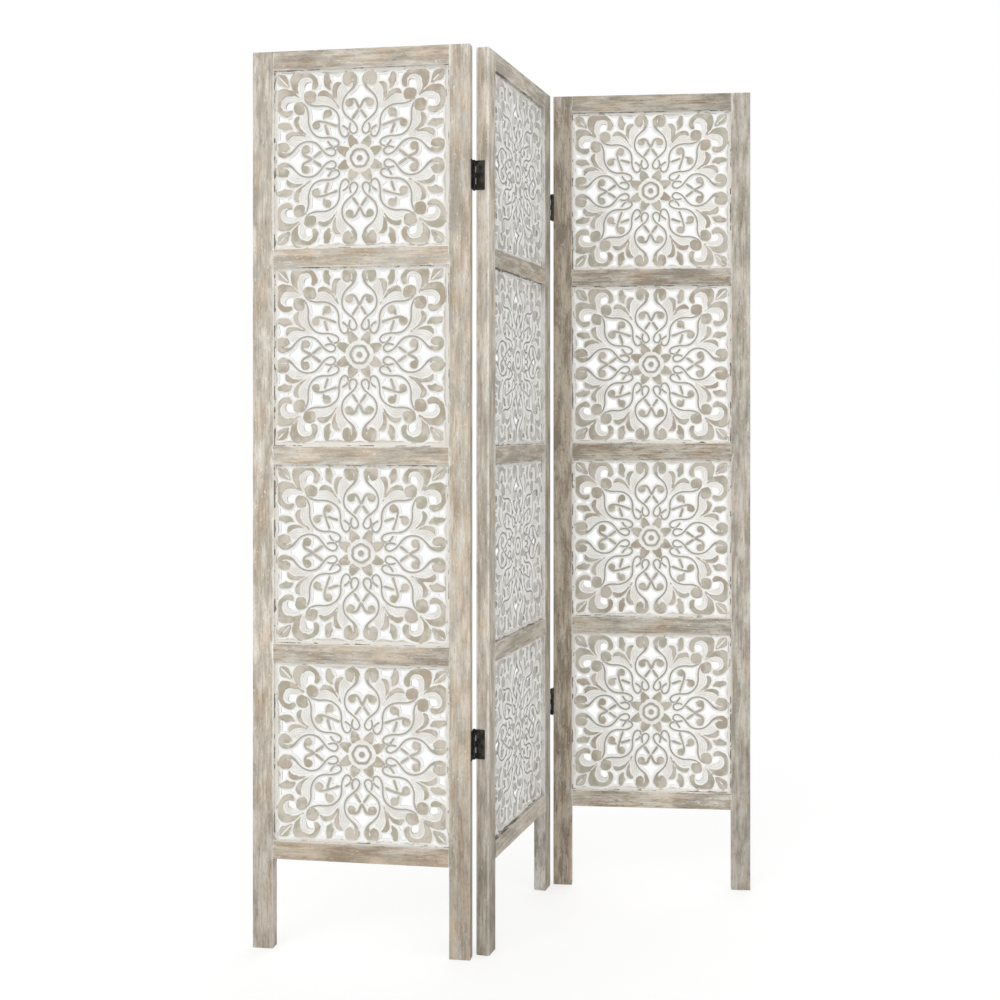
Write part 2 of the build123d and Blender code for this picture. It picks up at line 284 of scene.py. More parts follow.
class Relief:
    """One face of the board at the given places: heights, and what lies there."""

    def __init__(self, x, y):
        self.x, self.y = x, y
        self.height = np.full(x.shape, web_half_thickness)
        self.sanded = np.full(x.shape, -far)  # depth inside the flat tops
        self.solid = np.full(x.shape, -far)  # depth inside the wood
        self.spine = np.full(x.shape, far)  # distance from the middle of a thin line
        self.narrow = np.zeros(x.shape)  # 1 on thin lines
        self.pale = np.zeros(x.shape)  # 1 where the wash hides the wood
        self.fluted = np.zeros(x.shape)  # 1 at the bottom of a flute

    def near(self, lines, reach=far):
        """Places near a shape, or near its images beyond the two axes."""
        points = np.vstack([line[:, :2] for line in lines])
        low, high = points.min(0) - reach, points.max(0) + reach
        for flip_x, flip_y in ((1, 1), (-1, 1), (1, -1)):
            x, y = self.x * flip_x, self.y * flip_y
            places = np.nonzero((x > low[0]) & (x < high[0]) & (y > low[1]) & (y < high[1]))[0]
            if len(places):
                yield places, [shape_depth(x[places], y[places], line) for line in lines]

    def raise_shape(self, *lines, thin=0.0, pale=0.0, free=True):
        """A flat top with a slope round it. The last of several lines grows out of the first."""
        for places, depths in self.near(lines):
            narrow = thin
            if len(lines) > 1:
                narrow = thin * np.clip((depths[-1] - depths[0]) / thinning, 0, 1)
            self.raise_top(places, np.max(depths, axis=0), narrow, pale, free)
        if thin:
            middle_line = lines[-1] * (1, 1, 0)
            for places, (depth,) in self.near([middle_line]):
                self.spine[places] = np.minimum(self.spine[places], -depth)

    def raise_top(self, places, depth, narrow, pale, free=True):
        """A flat top where depth is over 0, cut free from the tops that it meets or joined to them."""
        fall = np.clip(-depth / skirt, 0, 1)
        side = web_half_thickness + carving_depth * (1 - fall) ** slope_curve
        cut = board_half_thickness - np.maximum(0, groove + depth) * carving_depth / skirt
        cleared = self.sanded[places]
        if free:
            self.height[places] = np.minimum(self.height[places], cut)
            cleared = np.minimum(cleared, -depth - groove)
        self.fluted[places] = np.where(side > self.height[places], 0, self.fluted[places])
        self.height[places] = np.maximum(self.height[places], side)
        own = depth > cleared
        self.narrow[places] = np.where(own, narrow, self.narrow[places])
        self.pale[places] = np.where(own, pale, self.pale[places])
        self.sanded[places] = np.maximum(cleared, depth)
        self.solid[places] = np.maximum(self.solid[places], depth + skirt + land)

    def raise_blade(self, line, guide):
        """A lower, whitened leaf with flutes that follow the shape beside it."""
        for places, (depth,) in self.near([line]):
            away = -outline_depth(-abs(self.x[places]), abs(self.y[places]), guide)
            roll = np.clip((depth + blade_skirt) / blade_roll, 0, 1)
            wave = flute_depth * np.cos((away - first_ridge) * 2 * math.pi / flute_pitch)
            rise = roll * roll * (3 - 2 * roll) * (blade_level - web_half_thickness + wave)
            self.height[places] = np.maximum(self.height[places], web_half_thickness + rise)
            valley = roll * np.clip(-wave / flute_depth, 0, 1)
            self.fluted[places] = np.maximum(self.fluted[places], valley)
            self.solid[places] = np.maximum(self.solid[places], depth + blade_land)

    def raise_border(self):
        """The plain strip along the frame, whose inner edge waves in and out."""
        curve = smooth_line(border_depths)
        x, y = abs(self.x), abs(self.y)
        from_side = x - (panel_half - np.interp(y, curve[:, 0], curve[:, 1]))
        from_top = y - (panel_half - np.interp(x, curve[:, 0], curve[:, 1]))
        depth = np.maximum(from_side, from_top)
        places = np.nonzero(depth > -far)[0]
        self.raise_top(places, depth[places], narrow=0.0, pale=0.6)

    def cut_groove(self, line):
        """A V cut with its floor along the line."""
        for places, (depth,) in self.near([line], vee_reach):
            floor = web_half_thickness + vee_floor + np.maximum(0, -depth) * vee_slope
            self.height[places] = np.minimum(self.height[places], floor)
            self.sanded[places] = np.minimum(self.sanded[places], -depth - vee_lip)

    def carve_flower(self):
        """The dot, the lobed ring and the rounded ring about the middle."""
        radius = np.hypot(self.x, self.y)
        turn = np.arctan2(self.y, self.x)
        lobes = lobed_ring_radius + lobe_rise * np.sqrt(abs(np.cos(3 * turn - math.pi)))
        self.spine = np.minimum(self.spine, abs(radius - lobes))
        self.narrow = np.where(radius < lobed_ring_reach, 0.6, self.narrow)
        for depth in (dot_radius - radius, lobed_ring_half_width - abs(radius - lobes)):
            side = board_half_thickness - carving_depth * np.clip(-depth / skirt, 0, 1)
            self.height = np.maximum(self.height, side)
            self.sanded = np.maximum(self.sanded, depth)
        rope = 1 - ((radius - rope_ring_radius) / rope_ring_half_width) ** 2
        rise = rope_ring_rise * np.sqrt(np.clip(rope, 0, 1))
        self.height = np.maximum(self.height, web_half_thickness + rise)
        self.solid = np.maximum(self.solid, flower_radius - radius)

    def bridge_and_pierce(self):
        """Plain web across the gaps that hold the pattern together, and the round piercings."""
        for bridge in (*bridges, *map(across_diagonal, bridges), middle_bridge):
            for places, (depth,) in self.near([np.array(bridge)]):
                self.solid[places] = np.maximum(self.solid[places], depth)
        self.solid = np.maximum(self.solid, middle_radius - np.hypot(self.x, self.y))
        for x, y, radius in (*beads, *((-y, -x, r) for x, y, r in beads)):
            self.solid = np.minimum(self.solid, np.hypot(self.x - x, self.y - y) - radius)
        for eye in both_sides(scroll_eye, True):
            for places, (depth,) in self.near([eye]):
                self.solid[places] = np.minimum(self.solid[places], -depth)


def both_sides(points, closed=False):
    """A shape and its twin across the diagonal, as smooth lines."""
    return [smooth_line(side, closed) for side in (points, across_diagonal(points))]


def carve(x, y):
    """The relief at places of the upper left quarter, x < 0 and y > 0."""
    relief = Relief(x, y)
    for blade, beside in ((side_blade, side_crescent), (top_blade, top_crescent), (scroll_blade, scroll)):
        for outline, guide in zip(both_sides(blade, True), both_sides(beside, True)):
            relief.raise_blade(outline, guide)
    relief.carve_flower()
    relief.raise_border()
    relief.raise_shape(smooth_line(corner_leaf, True), pale=0.1)
    side_half = (x < -corner_start) & (y > corner_start) & (x + y < -0.5)
    relief.pale = np.where(side_half & (relief.sanded > 0), 0.45, relief.pale)
    relief.cut_groove(smooth_line(corner_vein))
    for shape in (lens, scroll, side_crescent, top_crescent, petal_wedge):
        for outline in both_sides(shape, True):
            relief.raise_shape(outline)
    for shape, tendril, gouge in (
        (outer_disc, diagonal_tendril, outer_disc_groove),
        (axis_disc, axis_tendril, axis_disc_groove),
    ):
        for outline, line, cut in zip(both_sides(shape, True), both_sides(tendril), both_sides(gouge)):
            relief.raise_shape(outline, line, thin=1.0)
            relief.cut_groove(cut)
    centres = (axis_inner_disc, *across_diagonal([axis_inner_disc]))
    for centre, tails, bar in zip(centres, both_sides(axis_tails), both_sides(axis_bar)):
        relief.raise_shape(tails, thin=0.5)
        relief.raise_shape(bar, thin=0.5)
        relief.raise_shape(disc(centre, inner_disc_radius), free=False)
    for centre, tail in ((over_disc, over_tail), (under_disc, under_tail)):
        relief.raise_shape(disc(centre, inner_disc_radius), smooth_line(tail), thin=0.5)
    relief.raise_shape(smooth_line(under_bar), thin=0.5)
    relief.bridge_and_pierce()
    return relief


class Carving:
    """The relief of a whole board, looked up from a table of its quarter."""

    names = ("height", "sanded", "solid", "spine", "narrow", "pale", "fluted")

    def __init__(self, reach):
        self.low = -2 * table_step  # a little past the middle
        self.count = math.ceil(reach / table_step) + 6
        marks = self.low + table_step * np.arange(self.count)
        x, y = np.meshgrid(marks, marks, indexing="ij")
        relief = carve(-abs(x.ravel()), abs(y.ravel()))
        self.fields = {name: getattr(relief, name).reshape(x.shape) for name in self.names}

    def at(self, name, x, y):
        """One of the named values at places of the whole board."""
        field = self.fields[name]
        across = np.clip((abs(x) - self.low) / table_step, 0, self.count - 1.001)
        up = np.clip((abs(y) - self.low) / table_step, 0, self.count - 1.001)
        i, j = across.astype(int), up.astype(int)
        s, t = across - i, up - j
        near = field[i, j] * (1 - t) + field[i, j + 1] * t
        beyond = field[i + 1, j] * (1 - t) + field[i + 1, j + 1] * t
        return near * (1 - s) + beyond * s


class HandCut:
    """A carving off its middle by a slip, whose lines wander a little, as each board's do."""

    wander = 0.45  # mm
    wave_count = 5  # each way
    quickest = 0.075  # radians of a wave to a mm

    def __init__(self, carving, slip, turned, seed):
        self.carving, self.slip, self.turned = carving, slip, turned
        draws = np.random.default_rng(seed).uniform(-1, 1, (2, self.wave_count, 3))
        self.waves = draws * (self.quickest, self.quickest, math.pi)

    def at(self, name, x, y):
        """One of the named values, looked up beside the place by the wander there."""
        shift_x, shift_y = (
            sum(np.sin(a * x + b * y + c) for a, b, c in waves) * self.wander / math.sqrt(self.wave_count)
            for waves in self.waves
        )
        x, y = x + shift_x - self.slip[0], y + shift_y - self.slip[1]
        if self.turned:
            x, y = y, x
        return self.carving.at(name, x, y)


# ---- Turning a carving into a board ----


def snap_to_edge(cut, name, x, y, chosen, reach):
    """Moves the chosen places onto the line where a value passes through 0."""
    start_x, start_y = x[chosen], y[chosen]
    new_x, new_y = start_x, start_y
    probe = 0.3
    for _ in range(3):
        value = cut.at(name, new_x, new_y)
        slope_x = (cut.at(name, new_x + probe, new_y) - cut.at(name, new_x - probe, new_y)) / (2 * probe)
        slope_y = (cut.at(name, new_x, new_y + probe) - cut.at(name, new_x, new_y - probe)) / (2 * probe)
        steepness = np.maximum(slope_x**2 + slope_y**2, 0.2)  # short moves where it is level
        new_x = np.clip(new_x - value * slope_x / steepness, start_x - reach, start_x + reach)
        new_y = np.clip(new_y - value * slope_y / steepness, start_y - reach, start_y + reach)
    x[chosen], y[chosen] = new_x, new_y


def snap_to_spine(cut, x, y, free, reach):
    """Moves the free places of the cells that a thin line crosses to the line's middle."""
    probe = 0.5
    away = cut.at("spine", x, y)
    slope_x = cut.at("spine", x + probe, y) - cut.at("spine", x - probe, y)
    slope_y = cut.at("spine", x, y + probe) - cut.at("spine", x, y - probe)
    steepness = np.maximum(np.hypot(slope_x, slope_y), 0.5)
    move_x, move_y = -away * slope_x / steepness, -away * slope_y / steepness
    chosen = free & (np.maximum(abs(move_x), abs(move_y)) < reach)
    x[chosen] += move_x[chosen]
    y[chosen] += move_y[chosen]
    return chosen


def corners_of(marks):
    """The values at the four corners of every cell."""
    return np.stack([marks[:-1, :-1], marks[1:, :-1], marks[1:, 1:], marks[:-1, 1:]])


def wood_marks(cut, mark_x, mark_y):
    """Which marks of the grid are wood. No two parts of it meet only at a corner; the rim is whole."""
    kept = cut.at("solid", mark_x, mark_y) > 0
    for _ in range(3):  # filling one such corner may make another
        a, b, c, d = corners_of(kept)
        crossed = (a & c & ~b & ~d) | (b & d & ~a & ~c)
        kept[:-1, :-1] |= crossed
        kept[1:, :-1] |= crossed
    kept[[0, -1], :] = True
    kept[:, [0, -1]] = True
    return kept


def pull_points(cut, x, y, kept, tops, step):
    """Moves the points of the cells that an edge or a thin line crosses onto it."""
    around, above = corners_of(kept), corners_of(tops)
    cut_edge = around.any(0) & ~around.all(0)
    on_spine = snap_to_spine(cut, x, y, ~cut_edge, spine_pull * step)
    top_edge = above.any(0) & ~above.all(0) & ~cut_edge & ~on_spine
    snap_to_edge(cut, "solid", x, y, cut_edge, edge_pull * step)
    snap_to_edge(cut, "sanded", x, y, top_edge, edge_pull * step)


def facets(kept, height):
    """Triangles between the cells' points, split along the flatter diagonal, and the open edges."""
    count = len(kept) - 1
    a, b, c, d = corners_of(np.arange(count * count).reshape(count, count))
    inner = kept[1:-1, 1:-1]
    filled = np.pad(inner, 1)
    p, q, r, s = a[inner], b[inner], c[inner], d[inner]
    along = (abs(height[p] - height[r]) <= abs(height[q] - height[s]))[:, None]
    first = np.where(along, np.stack([p, q, r], 1), np.stack([p, q, s], 1))
    second = np.where(along, np.stack([p, r, s], 1), np.stack([q, r, s], 1))
    edges = []
    for start, end, beside in (
        (b, c, filled[2:, 1:-1]),
        (d, a, filled[:-2, 1:-1]),
        (c, d, filled[1:-1, 2:]),
        (a, b, filled[1:-1, :-2]),
    ):
        bare = inner & ~beside
        edges.append(np.stack([start[bare], end[bare]], axis=1))
    return np.vstack([first, second]), np.vstack(edges)


def board_surface(cut, board_half):
    """Places of one face's points in mm, its triangles, and its open edges."""
    count = round(2 * board_half / grid)
    step = 2 * board_half / count
    marks = -board_half + step * np.arange(count + 1)
    mark_x, mark_y = np.meshgrid(marks, marks, indexing="ij")
    kept = wood_marks(cut, mark_x, mark_y)
    tops = cut.at("sanded", mark_x, mark_y) > 0
    middles = marks[:-1] + step / 2
    x, y = np.meshgrid(middles, middles, indexing="ij")
    pull_points(cut, x, y, kept, tops, step)
    x[0, :], x[-1, :] = -board_half, board_half
    y[:, 0], y[:, -1] = -board_half, board_half
    triangles, edges = facets(kept, cut.at("height", x, y).ravel())
    return x.ravel(), y.ravel(), triangles, edges


def board_mesh(name, cut, board_half, flat_unit, thick_unit):
    """A carved board about its middle, in metres: X across, Y up, Z out of its face."""
    x, y, triangles, edges = board_surface(cut, board_half)
    used = np.unique(triangles)
    renumber = np.zeros(len(x), int)
    renumber[used] = np.arange(len(used))
    triangles, edges, x, y = renumber[triangles], renumber[edges], x[used], y[used]
    count = len(used)
    height = cut.at("height", x, y)
    start, end = edges.T
    walls = np.vstack([
        np.stack([end, start, start + count], axis=1),
        np.stack([end, start + count, end + count], axis=1),
    ])
    faces = np.vstack([triangles, triangles[:, ::-1] + count, walls])
    front = np.stack([x * flat_unit, y * flat_unit, height * thick_unit], axis=1)
    places = np.vstack([front, front * (1, 1, -1)])
    mesh = bpy.data.meshes.new(name)
    mesh.from_pydata(places.tolist(), [], faces.tolist())
    values = {value: cut.at(value, x, y) for value in ("sanded", "narrow", "pale", "fluted")}
    values["relief"] = (height - web_half_thickness) / carving_depth
    for value, numbers in values.items():
        mesh.attributes.new(value, "FLOAT", "POINT").data.foreach_set("value", np.tile(numbers, 2))
    mesh.shade_smooth()
    mesh.set_sharp_from_angle(angle=crease_angle)
    return mesh


# ---- Where things are ----

upward = Vector((0, 0, 1))


def extent(node, direction):
    """A node's lowest and highest place along a direction, in metres."""
    mesh = nodes[node].data
    places = np.empty(len(mesh.vertices) * 3)
    mesh.vertices.foreach_get("co", places)
    along = places.reshape(-1, 3) @ np.array(direction)
    return along.min(), along.max()


def half_size(node, direction):
    """Half of a node's size along a direction."""
    low, high = extent(node, direction)
    return (high - low) / 2


def middle_of(node):
    """The middle of a node's box."""
    low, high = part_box(node)
    return (Vector(low) + Vector(high)) / 2


class Leaf:
    """One leaf: its body, pieces, directions and sizes, read from its solids."""

    def __init__(self, side):
        self.side = side
        self.body = side + "_leaf"
        self.panels = self.numbered("panel")
        self.rails = self.numbered("rail")
        self.stiles = [f"{self.body}_{end}_stile" for end in ("left", "right")]
        left, right = map(middle_of, self.stiles)
        self.middle = (left + right) / 2
        self.heading = math.atan2(right.y - left.y, right.x - left.x)
        self.across = Vector((math.cos(self.heading), math.sin(self.heading), 0))
        self.out = self.across.cross(upward)  # out of the carved front
        self.half_width = extent(self.stiles[1], self.across)[1] - self.middle.dot(self.across)
        self.half_thickness = half_size(self.stiles[1], self.out)
        self.opening_half = half_size(self.rails[0], self.across)
        self.panel_half_thickness = half_size(self.panels[0], self.out)
        self.top = extent(self.rails[0], upward)[1]
        self.bottom = extent(self.rails[-1], upward)[0]

    def numbered(self, kind):
        """The leaf's nodes of one kind, from the top down."""
        return sorted(name for name in nodes if name.startswith(f"{self.body}_{kind}_"))

    def opening_edges(self, node):
        """The heights at which a rail meets the panels above and below it; none for other nodes."""
        if node not in self.rails:
            return []
        low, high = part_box(node)
        return [high[2]] * (node != self.rails[0]) + [low[2]] * (node != self.rails[-1])


leaves = [Leaf(side) for side in ("left", "middle", "right")]


# ---- Colours, and how they differ from piece to piece ----


def paint(red, green, blue):
    """A colour given as it looks, 0 to 255, as the shader wants it."""
    values = [value / 255 for value in (red, green, blue)]
    linear = [v / 12.92 if v <= 0.04045 else ((v + 0.055) / 1.055) ** 2.4 for v in values]
    return (*linear, 1.0)


def even(level):
    """A grey of one level in the shader's own numbers, 1 for white."""
    return (level, level, level, 1.0)


grey_wood = paint(166, 156, 144), paint(212, 204, 192)  # where the grain is dark, where it is light
warm_wood = paint(163, 145, 124), paint(211, 194, 171)
green_wood = paint(160, 154, 141), paint(207, 203, 190)
veil_white = paint(220, 217, 209)
fleck_white = paint(232, 230, 224)
edge_white = paint(240, 239, 233)
inside_shade_brown = paint(104, 90, 78)
wall_bare_shaded_grey = paint(150, 142, 130)
gap_shadow_dark = paint(96, 86, 73)
foot_line_grey = paint(132, 127, 117)
# painted shade for the flutes' valleys
flute_shade_grey = paint(196, 194, 190)
steel_black = paint(27, 25, 22)
steel_rubbed = paint(72, 70, 62)

# The sanded tops' four colours, the wash on the slopes and the ground, and how dark the cut walls are
# painted, as bare wood and as painted shade.
PanelLook = namedtuple("PanelLook", "tan olive brown line_grey slope_low slope_high ground_wash bare_walls")
panel_looks = {
    "left": PanelLook(
        tan=paint(200, 193, 180),
        olive=paint(171, 168, 150),
        brown=paint(170, 153, 134),
        line_grey=paint(168, 165, 158),
        slope_low=paint(232, 229, 222),
        slope_high=paint(243, 242, 238),
        ground_wash=paint(246, 247, 247),
        bare_walls=0.35,
    ),
    # The middle leaf's wash is painted lighter, to make up for the less light on its slanted face, and its
    # thin lines and cut walls darker, as painted shade.
    "middle": PanelLook(
        tan=paint(210, 207, 201),
        olive=paint(186, 185, 179),
        brown=paint(180, 173, 163),
        line_grey=paint(150, 149, 145),
        slope_low=paint(243, 241, 236),
        slope_high=paint(250, 249, 247),
        ground_wash=paint(255, 255, 254),
        bare_walls=0.7,
    ),
    "right": PanelLook(
        tan=paint(194, 188, 176),
        olive=paint(170, 168, 153),
        brown=paint(162, 146, 128),
        line_grey=paint(160, 158, 151),
        slope_low=paint(238, 235, 229),
        slope_high=paint(247, 246, 242),
        ground_wash=paint(250, 251, 251),
        bare_walls=0.5,
    ),
}

# A piece's tone and warmth, its added warmth and its share of tone near the floor, how softly
# light and dark run together, whether its outer corners are whitened, and whether its inside is painted
# dark brown as shade.
WoodLook = namedtuple(
    "WoodLook",
    "tone warmth low_warmth low_tone softness white_corners bare_inside",
    defaults=(1.0, 0.0, 0.0, 1.0, 0.15, False, False),
)
wood_looks = {
    "left_leaf_left_stile": WoodLook(1.1, low_warmth=0.3, low_tone=0.71, softness=0.17),
    "left_leaf_right_stile": WoodLook(1.02, 0.12, low_warmth=0.3, low_tone=0.73, softness=0.2),
    "left_leaf_rail_1": WoodLook(1.01, 0.1, softness=0.17),
    "left_leaf_rail_2": WoodLook(1.08, 0.1, softness=0.2),
    "left_leaf_rail_3": WoodLook(1.03, 0.1, softness=0.17),
    "left_leaf_rail_4": WoodLook(0.92, 0.15, low_warmth=0.1),
    "left_leaf_rail_5": WoodLook(0.84, 0.25, low_warmth=0.3),
    "middle_leaf_left_stile": WoodLook(1.08, low_warmth=0.2, low_tone=0.7, white_corners=True),
    "middle_leaf_right_stile": WoodLook(0.88, low_warmth=0.1, low_tone=0.9, softness=0.13),
    "right_leaf_left_stile": WoodLook(0.77, 0.25, low_warmth=0.2, low_tone=0.9, softness=0.1),
    "right_leaf_right_stile": WoodLook(0.9, -0.05, low_tone=0.79, softness=0.14),
    "right_leaf_rail_1": WoodLook(0.8, 0.05, softness=0.12),
    "right_leaf_rail_2": WoodLook(0.83, 0.1, softness=0.11),
    "right_leaf_rail_3": WoodLook(0.83, 0.1, softness=0.1),
    "right_leaf_rail_4": WoodLook(0.87, 0.1, softness=0.12),
    "right_leaf_rail_5": WoodLook(0.94, 0.15, softness=0.11),
}


# ---- Shading ----


class Value:
    """A socket's number or colour. Sums with it add Math nodes."""

    def __init__(self, shading, socket):
        self.shading, self.socket = shading, socket

    def maths(self, operation, first, second):
        return self.shading.node("Math", {"operation": operation}, {0: first, 1: second})

    def __add__(self, other):
        return self.maths("ADD", self, other)

    def __sub__(self, other):
        return self.maths("SUBTRACT", self, other)

    def __rsub__(self, other):
        return self.maths("SUBTRACT", other, self)

    def __mul__(self, other):
        return self.maths("MULTIPLY", self, other)

    def __abs__(self):
        return self.maths("ABSOLUTE", self, 0.0)

    def larger(self, other):
        return self.maths("MAXIMUM", self, other)

    __radd__ = __add__
    __rmul__ = __mul__


class Shading:
    """The nodes of a material or of the world."""

    def __init__(self, owner):
        owner.use_nodes = True
        self.tree = owner.node_tree

    def node(self, kind, settings=None, sockets=None, output=0):
        """Adds a node: its settings first, then the values or links of its sockets."""
        node = self.tree.nodes.new("ShaderNode" + kind)
        for name, value in (settings or {}).items():
            setattr(node, name, value)
        for key, value in (sockets or {}).items():
            self.feed(node.inputs[key], value)
        return Value(self, node.outputs[output])

    def feed(self, socket, value):
        """Links a value to a socket, or sets it there."""
        if isinstance(value, Value):
            self.tree.links.new(value.socket, socket)
        else:
            socket.default_value = value

    def background_rays(self):
        """1 for what the camera sees, straight or by metal or glass; 0 for light on the screen."""
        camera = self.node("LightPath", output="Is Camera Ray")
        paths = camera.socket.node.outputs
        return camera + Value(self, paths["Is Glossy Ray"]) + Value(self, paths["Is Transmission Ray"])


class Finish(Shading):
    """A material in the making, and the shader that its nodes feed."""

    def __init__(self, name):
        self.material = bpy.data.materials.new(name)
        super().__init__(self.material)
        self.shader = self.tree.nodes["Principled BSDF"]

    def set(self, **sockets):
        """Feeds the shader's sockets, named with underscores for spaces."""
        for name, value in sockets.items():
            self.feed(self.shader.inputs[name.replace("_", " ")], value)

    def attribute(self, name):
        return self.node("Attribute", {"attribute_name": name}, output="Fac")

    def parts(self, place):
        """The X, Y and Z of a place or direction."""
        split = self.node("SeparateXYZ", {}, {0: place}).socket.node
        return [Value(self, output) for output in split.outputs]

    def stretched(self, place, *factors):
        return self.node("VectorMath", {"operation": "MULTIPLY"}, {0: place, 1: factors})

    def moved(self, place, *shift):
        return self.node("VectorMath", {"operation": "ADD"}, {0: place, 1: shift})

    def noise(self, place, scale, detail=3.0, roughness=0.55):
        """Cloudy noise with spots about 1 / scale metres wide."""
        sockets = {"Vector": place, "Scale": scale, "Detail": detail, "Roughness": roughness}
        return self.node("TexNoise", {}, sockets)

    def step(self, value, low, high, start=0.0, end=1.0):
        """Goes smoothly from start to end while a value goes from low to high."""
        sockets = {"Value": value, 1: low, 2: high, 3: start, 4: end}
        return self.node("MapRange", {"interpolation_type": "SMOOTHSTEP"}, sockets)

    def mix(self, share, first, second):
        """The first colour with a share of the second."""
        return self.node("Mix", {"data_type": "RGBA"}, {0: share, 6: first, 7: second}, output=2)

    def shaded(self, colour, strength):
        """The colour times a number."""
        return self.node("VectorMath", {"operation": "SCALE"}, {0: colour, "Scale": strength})

    def bump(self, height, distance, strength):
        sockets = {"Height": height, "Distance": distance, "Strength": strength}
        return self.node("Bump", {}, sockets)


class CarvedFinish(Finish):
    """The finish of a carved board, and the marks and patches that its colours share.

    The seed moves the board to a stretch of the noise that no other board has.
    """

    def __init__(self, name, leaf, seed):
        super().__init__(name)
        self.opening_half = leaf.opening_half
        on_board = self.node("TexCoord", output="Object")
        place = self.moved(on_board, seed * 1.7, seed * 0.9, seed * 0.4)
        self.mottle = self.noise(place, 240.0, 4.0, 0.6)
        self.grain = self.noise(self.stretched(place, 1.0, 0.07, 1.0), 420.0, 4.0, 0.6)
        self.cloud = self.noise(place, 34.0)
        self.patch = self.noise(place, 60.0, 2.0)
        self.broad = self.noise(place, 13.0, 2.0)
        self.sanded = self.attribute("sanded")
        self.narrow = self.attribute("narrow")
        self.pale = self.attribute("pale")
        self.relief = self.attribute("relief")
        self.fluted = self.attribute("fluted")
        across, up = self.parts(on_board)[:2]
        self.reach = abs(across).larger(abs(up)) + 5 * mm * (self.patch - 0.5)

    def sanded_wood(self, look):
        """The flat tops' wood: patches of three colours, grey thin lines and darker rims."""
        wood = self.mix(self.step(self.cloud, 0.42, 0.6, 0.0, 0.9), look.tan, look.olive)
        browned = self.step(self.broad + 0.5 * (self.cloud - 0.5), 0.5, 0.66, 0.0, 0.6)
        wood = self.mix(self.narrow, self.mix(browned, wood, look.brown), look.line_grey)
        darkened = self.step(self.cloud + 0.6 * (self.mottle - 0.5), 0.62, 0.42)
        rim = self.step(self.sanded, 2.2, 0.3) * darkened
        lightness = 0.9 + 0.2 * self.grain + 0.1 * self.broad
        return self.shaded(wood, lightness - 0.12 * rim * (1.0 - self.narrow))

    def wash_coat(self, look):
        """The white wash: thinner on the slopes than on the ground, with painted shade in the flutes'
        valleys.
        """
        slope = self.mix(self.step(self.cloud, 0.36, 0.64), look.slope_low, look.slope_high)
        coat = self.mix(self.step(self.relief, 0.02, 0.25), look.ground_wash, slope)
        return self.shaded(self.mix(0.5 * self.fluted, coat, flute_shade_grey), 0.965 + 0.06 * self.mottle)

    def sanded_share(self):
        """How far the wash is sanded off: on the tops, less on pale ones and least by the frame."""
        worn = self.step(self.sanded + 0.15 * self.narrow + 0.8 * (self.mottle - 0.5), -0.2, 0.35)
        residue = self.step(self.mottle + 0.35 * self.grain + 0.2 * self.broad, 0.9, 1.16)
        border = self.step(self.reach, self.opening_half - 9 * mm, self.opening_half - 6 * mm)
        return worn * (1.0 - 0.8 * residue) * (1.0 - 0.5 * self.pale) * (1.0 - 0.75 * border)

    def foot_line(self):
        """A darker grey line round the edge of some of the wider tops."""
        round_top = self.step(abs(self.sanded + 0.4), 1.0, 0.3)
        foot_line = round_top * self.step(self.patch + 0.4 * (self.broad - 0.5), 0.5, 0.6)
        return 0.6 * foot_line * (1.0 - self.narrow)

    def wall_bare_and_shaded(self):
        """The walls of the piercings, painted darker both as bare wood where the brush hardly reaches and
        as painted shade.
        """
        facing = self.parts(self.node("TexCoord", output="Normal"))[2]
        return self.step(abs(facing), 0.35, 0.12) * self.step(self.cloud, 0.62, 0.45, 0.4, 1.0)

    def gap_shadow(self):
        """Painted shadow along stretches of the gap between the board and the frame."""
        joint = self.step(self.reach, self.opening_half - 2.8 * mm, self.opening_half - 1.3 * mm)
        return joint * self.step(self.cloud + 0.5 * (self.broad - 0.5), 0.5, 0.56)


def panel_finish(name, leaf, seed, look):
    """White wash in the carving, sanded back to bare wood on the flat tops."""
    board = CarvedFinish(name, leaf, seed)
    top = board.sanded_share()
    colour = board.mix(top, board.wash_coat(look), board.sanded_wood(look))
    # A darker grey line round the edge of some of the wider tops.
    colour = board.mix(board.foot_line(), colour, foot_line_grey)
    # The cut walls painted darker, as bare wood and as painted shade.
    colour = board.mix(look.bare_walls * board.wall_bare_and_shaded(), colour, wall_bare_shaded_grey)
    # Painted shadow in the gap along the frame.
    colour = board.mix(0.9 * board.gap_shadow(), colour, gap_shadow_dark)
    board.set(
        Base_Color=colour,
        Roughness=0.78 - 0.1 * top,
        Normal=board.bump(board.grain + 0.5 * board.mottle, 0.4 * mm, 0.5),
        Specular_IOR_Level=0.25,
    )
    return board.material


